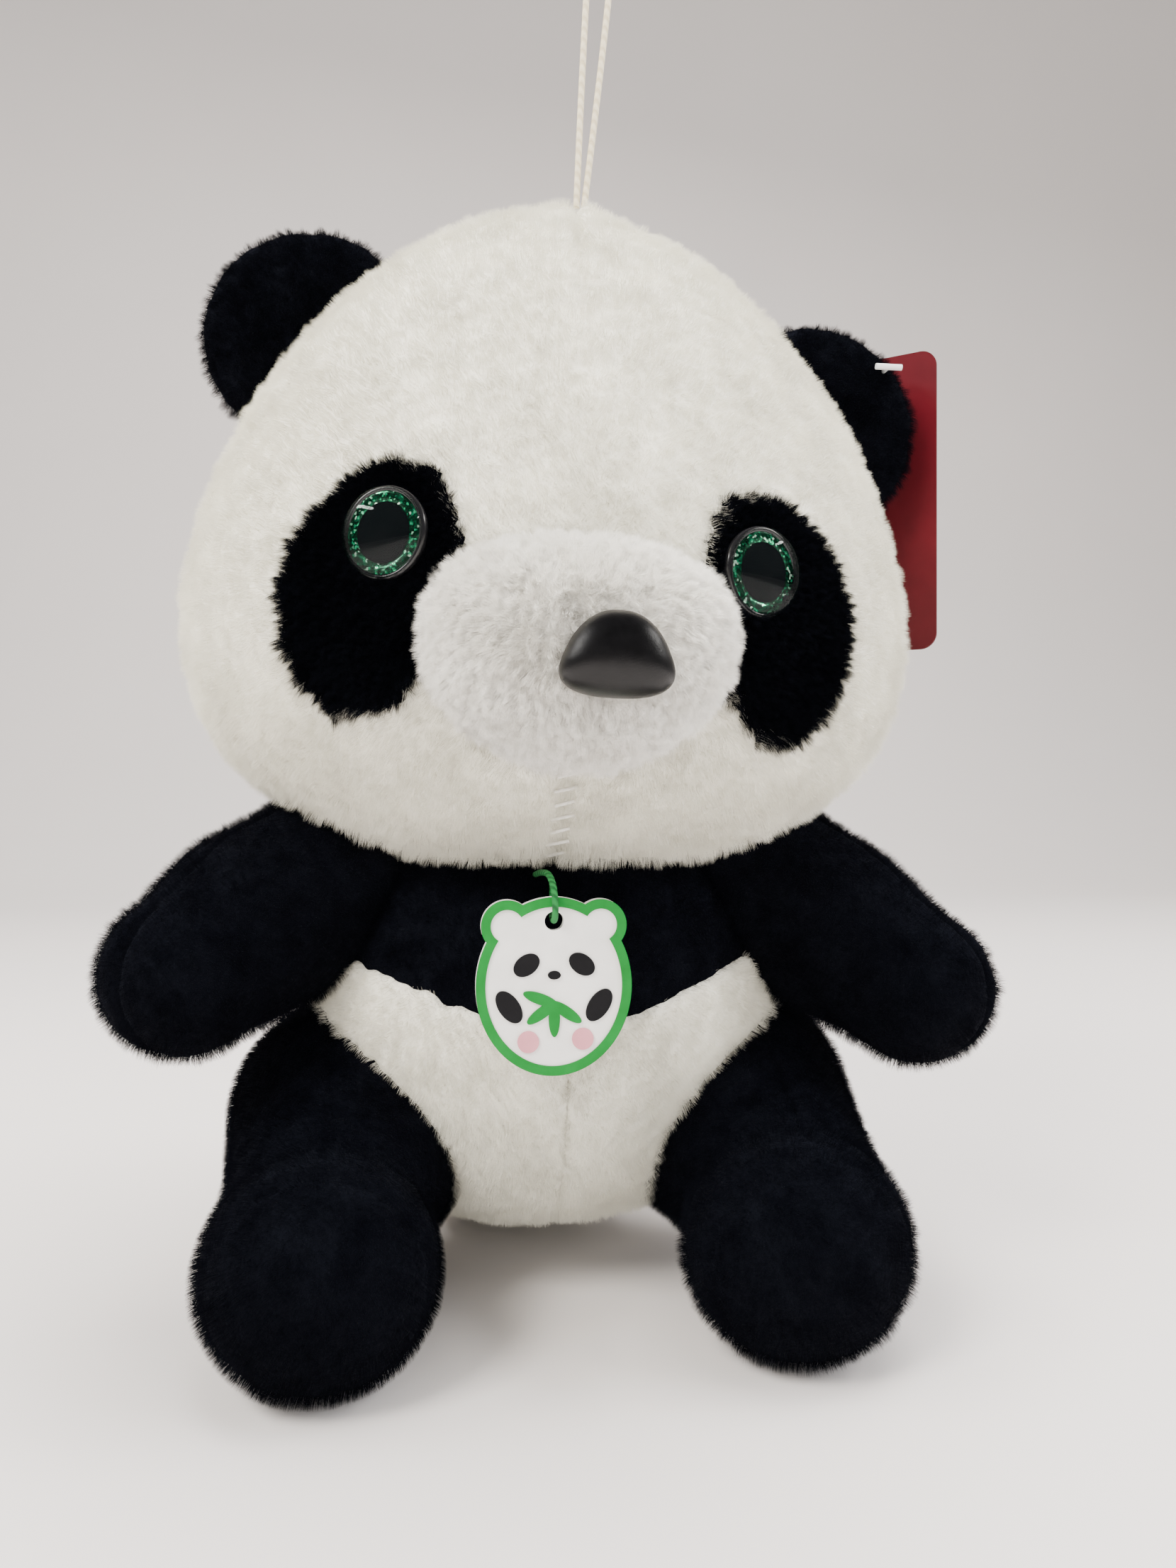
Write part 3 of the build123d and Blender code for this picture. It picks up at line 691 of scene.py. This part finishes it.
def arm_field(points, shoulder, elbow, palm):
    """Negative inside an arm."""
    upper = capsule(points, shoulder, elbow, 26, 22)
    lower = capsule(points, elbow, palm, 22, 19.5)
    return smooth_union([upper, lower], 8)


def make_arm(side_name, side):
    """An arm held out and a little down, with a seam around its end and along its top."""
    low = HAND_LEVELS[side_name]
    shoulder = (side * 58, -12, 108.5)
    elbow = (side * 76, -26, (106 + low) / 2 + 2)
    palm = (side * PALM_SPREAD[side_name], -42, low)
    centre = np.array(elbow) * 0.6 + (np.array(shoulder) + np.array(palm)) * 0.2
    arm_points, arm_faces = blown(
        centre, (1.5, 1, 1), lambda points: arm_field(points, shoulder, elbow, palm), 6, 120)
    along = np.array(palm) - np.array(elbow)
    along /= np.linalg.norm(along)
    seam_distance = (arm_points - np.array(elbow)) @ np.cross(along, (0, 0, 1.0))
    outer_end = smooth_step((arm_points - np.array(palm)) @ along, 0, 12)
    arm_points = groove(arm_points, arm_faces, np.where(outer_end > 0, seam_distance, FAR), 1.8, 1.6)
    top_seam = np.where(arm_points[:, 2] > palm[2], seam_distance, FAR)
    arm_points = groove(arm_points, arm_faces, top_seam, 1.3, 0.8)
    arm_surface = pile_bumps(arm_points, arm_faces, 80 + side)
    arm = mesh_object(f"arm_skin_{side_name}", arm_surface, arm_faces, black_plush, f"arm_{side_name}")
    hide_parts(f"arm_front_{side_name}", f"arm_back_{side_name}", f"arm_stuffing_{side_name}")
    arm_shown = smooth_step(trunk_field(arm_surface), -4, -1)
    pile(arm, 2.3, 2800, 26, arm_shown, seed=90 + side, thick=0.05)


def leg_field(points, hip, knee, ankle):
    """Negative inside a leg and its round foot, flat where they rest."""
    thigh = capsule(points, hip, knee, 33.5, 24)
    foot = ball(points, ankle, (26.5, 25, 26))
    return np.maximum(smooth_union([thigh, foot], 3), 0.6 - points[:, 2])


def make_leg(side_name, side):
    """A leg stretched forward, with a seam around its sole and along its inside."""
    hip = (side * 51, -14, 44)
    knee = (side * 56, -46, 34)
    ankle = (side * ANKLE_SPREAD[side_name], -66, 26.0)
    centre = np.array([side * 54.0, -38.0, 32.0])
    leg_points, leg_faces = blown(
        centre, (1, 1.5, 1), lambda points: leg_field(points, hip, knee, ankle), 6, 120)
    leg_points = groove(leg_points, leg_faces, leg_points[:, 1] - SOLE_SEAM, 1.6, 0.6)
    inner_seam = np.where(leg_points[:, 1] > SOLE_SEAM + 6, leg_points[:, 0] - side * 56, FAR)
    leg_points = groove(leg_points, leg_faces, inner_seam, 1.3, 0.8)
    leg_surface = pile_bumps(leg_points, leg_faces, 100 + side)
    leg_surface[:, 2] = np.maximum(leg_surface[:, 2], FLOOR_SKIM)
    leg = mesh_object(f"leg_skin_{side_name}", leg_surface, leg_faces, black_plush, f"leg_{side_name}")
    leg_skins = [f"leg_outer_{side_name}", f"leg_inner_{side_name}", f"foot_sole_{side_name}"]
    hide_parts(*leg_skins, f"leg_stuffing_{side_name}")
    leg_shown = smooth_step(trunk_field(leg_surface), -4, -1) * smooth_step(leg_surface[:, 2], 1.0, 3.5)
    pile(leg, 2.3, 4000, 26, leg_shown, seed=110 + side, thick=0.05)


for side_name, side in sides.items():
    make_arm(side_name, side)
    make_leg(side_name, side)


# ---------------------------------------------------------------- stitches, tag and cords

def stitch(start, end, radius=0.45, arch=0.9, sides=6, steps=6):
    """A short sewn thread between two points, arched a little off the cloth."""
    points, faces = [], []
    start, end = np.array(start), np.array(end)
    line = end - start
    back = np.array([0, 1.0, 0])
    cross = np.cross(line, back)
    cross /= np.linalg.norm(cross)
    for t in np.linspace(0, 1, steps + 1):
        middle = start + line * t - arch * sin(pi * t) * back
        for k in range(sides):
            angle = 2 * pi * k / sides
            points.append(middle + radius * (cos(angle) * cross + sin(angle) * back))
    for row in range(steps):
        for k in range(sides):
            j = (k + 1) % sides
            here, beyond = row * sides, (row + 1) * sides
            faces.append((here + k, here + j, beyond + j, beyond + k))
    return points, faces


# Hand stitches close the face seam under the muzzle, every other one a little wider
stitch_points, stitch_faces = [], []
for i, level in enumerate(np.arange(12.5, 36, 3.2)):
    reach = 2.4 + 0.5 * (i % 2)
    left = (-reach, face_front(-reach, level) - 1.0, level)
    right = (reach * 0.8, face_front(reach, level + 1.4) - 1.0, level + 1.4)
    points, faces = stitch(left, right)
    stitch_faces += [tuple(len(stitch_points) + n for n in face) for face in faces]
    stitch_points += points
mesh_object("chin_stitches", moved(HEAD_PLACE, np.array(stitch_points)), stitch_faces, thread, "head")

loop = cord_curve("loop_cord", LOOP_ROUTE, LOOP_DIAMETER)
loop.data.materials.append(cream_cord)
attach(loop, "head")
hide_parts("hanging_loop")

charm_cord = cord_curve("charm_loop", CHARM_CORD_ROUTE, CHARM_CORD_DIAMETER)
charm_cord.data.materials.append(green_cord)
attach(charm_cord, "trunk")
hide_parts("charm_cord")

# Carried-over pieces get their finished surfaces
node_materials = {
    "eye_washer_left": washer_plastic, "eye_washer_right": washer_plastic, "nose_washer": washer_plastic,
    "tag_fastener": fastener_plastic, "hang_tag": red_card, "loop_knot": cream_cord, "charm_plate": charm_white,
    "charm_rim": charm_green, "charm_leaf": charm_green, "charm_marks": charm_black, "charm_pads": charm_pink,
}
for node, material in node_materials.items():
    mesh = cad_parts[node].data
    mesh.materials.clear()
    mesh.materials.append(material)


# ---------------------------------------------------------------- floor, backdrop and light

def backdrop(wall=1.8, bend=0.8, reach=9.0, height=6.0, steps=12):
    """A pale floor that curves up into a wall. Sizes are in metres."""
    outline = [(-reach, 0.0), (wall - bend, 0.0)]
    for i in range(1, steps + 1):
        angle = pi / 2 * i / steps
        outline.append((wall - bend + bend * sin(angle), bend - bend * cos(angle)))
    outline.append((wall, height))
    points = [(x, y, z) for y, z in outline for x in (-reach, reach)]
    faces = [(2 * i, 2 * i + 1, 2 * i + 3, 2 * i + 2) for i in range(len(outline) - 1)]
    mesh = bpy.data.meshes.new("backdrop")
    mesh.from_pydata(points, [], faces)
    mesh.polygons.foreach_set("use_smooth", [True] * len(mesh.polygons))
    mesh.materials.append(surface("paper", (0.72, 0.685, 0.67), (0.70, 0.665, 0.65), 3, 0.9, 0.00002))
    obj = bpy.data.objects.new("backdrop", mesh)
    scene.collection.objects.link(obj)


backdrop()

world = bpy.data.worlds.new("studio")
scene.world = world
world.use_nodes = True
world.node_tree.nodes["Background"].inputs["Color"].default_value = (1.0, 0.965, 0.93, 1)
world.node_tree.nodes["Background"].inputs["Strength"].default_value = 0.62


def soft_light(name, place, aim, size, power, colour, shows=False):
    """A rectangular lamp in metres and watts. Only one that shows is seen in glossy surfaces."""
    data = bpy.data.lights.new(name, "AREA")
    data.shape = "RECTANGLE"
    data.size, data.size_y = size
    data.energy = power
    data.color = colour
    obj = bpy.data.objects.new(name, data)
    scene.collection.objects.link(obj)
    obj.location = place
    obj.rotation_euler = (Vector(aim) - Vector(place)).to_track_quat("-Z", "Y").to_euler()
    obj.visible_glossy = shows


world.cycles_visibility.glossy = False
soft_light("key", (-0.75, -0.75, 1.05), (0, 0, 0.15), (0.5, 0.5), 30.0, (1.0, 0.95, 0.88))
soft_light("top", (0.2, 0.1, 1.5), (0, 0, 0.1), (1.2, 1.2), 50.0, (1.0, 0.97, 0.94))
soft_light("side", (1.1, -0.5, 0.6), (0, 0, 0.15), (0.7, 0.7), 15.0, (0.96, 0.96, 1.0))
soft_light("front", (-0.25, -1.3, 0.45), (0, 0, 0.2), (0.9, 0.9), 9.0, (1.0, 0.98, 0.95))
soft_light("left_strip", (-0.75, -0.10, 0.70), (0, -0.1, 0.18), (0.5, 0.05), 5.0, (1.0, 0.98, 0.95), True)
soft_light("right_strip", (0.80, -0.10, 0.72), (0, -0.1, 0.18), (0.4, 0.05), 4.0, (1.0, 0.98, 0.95), True)
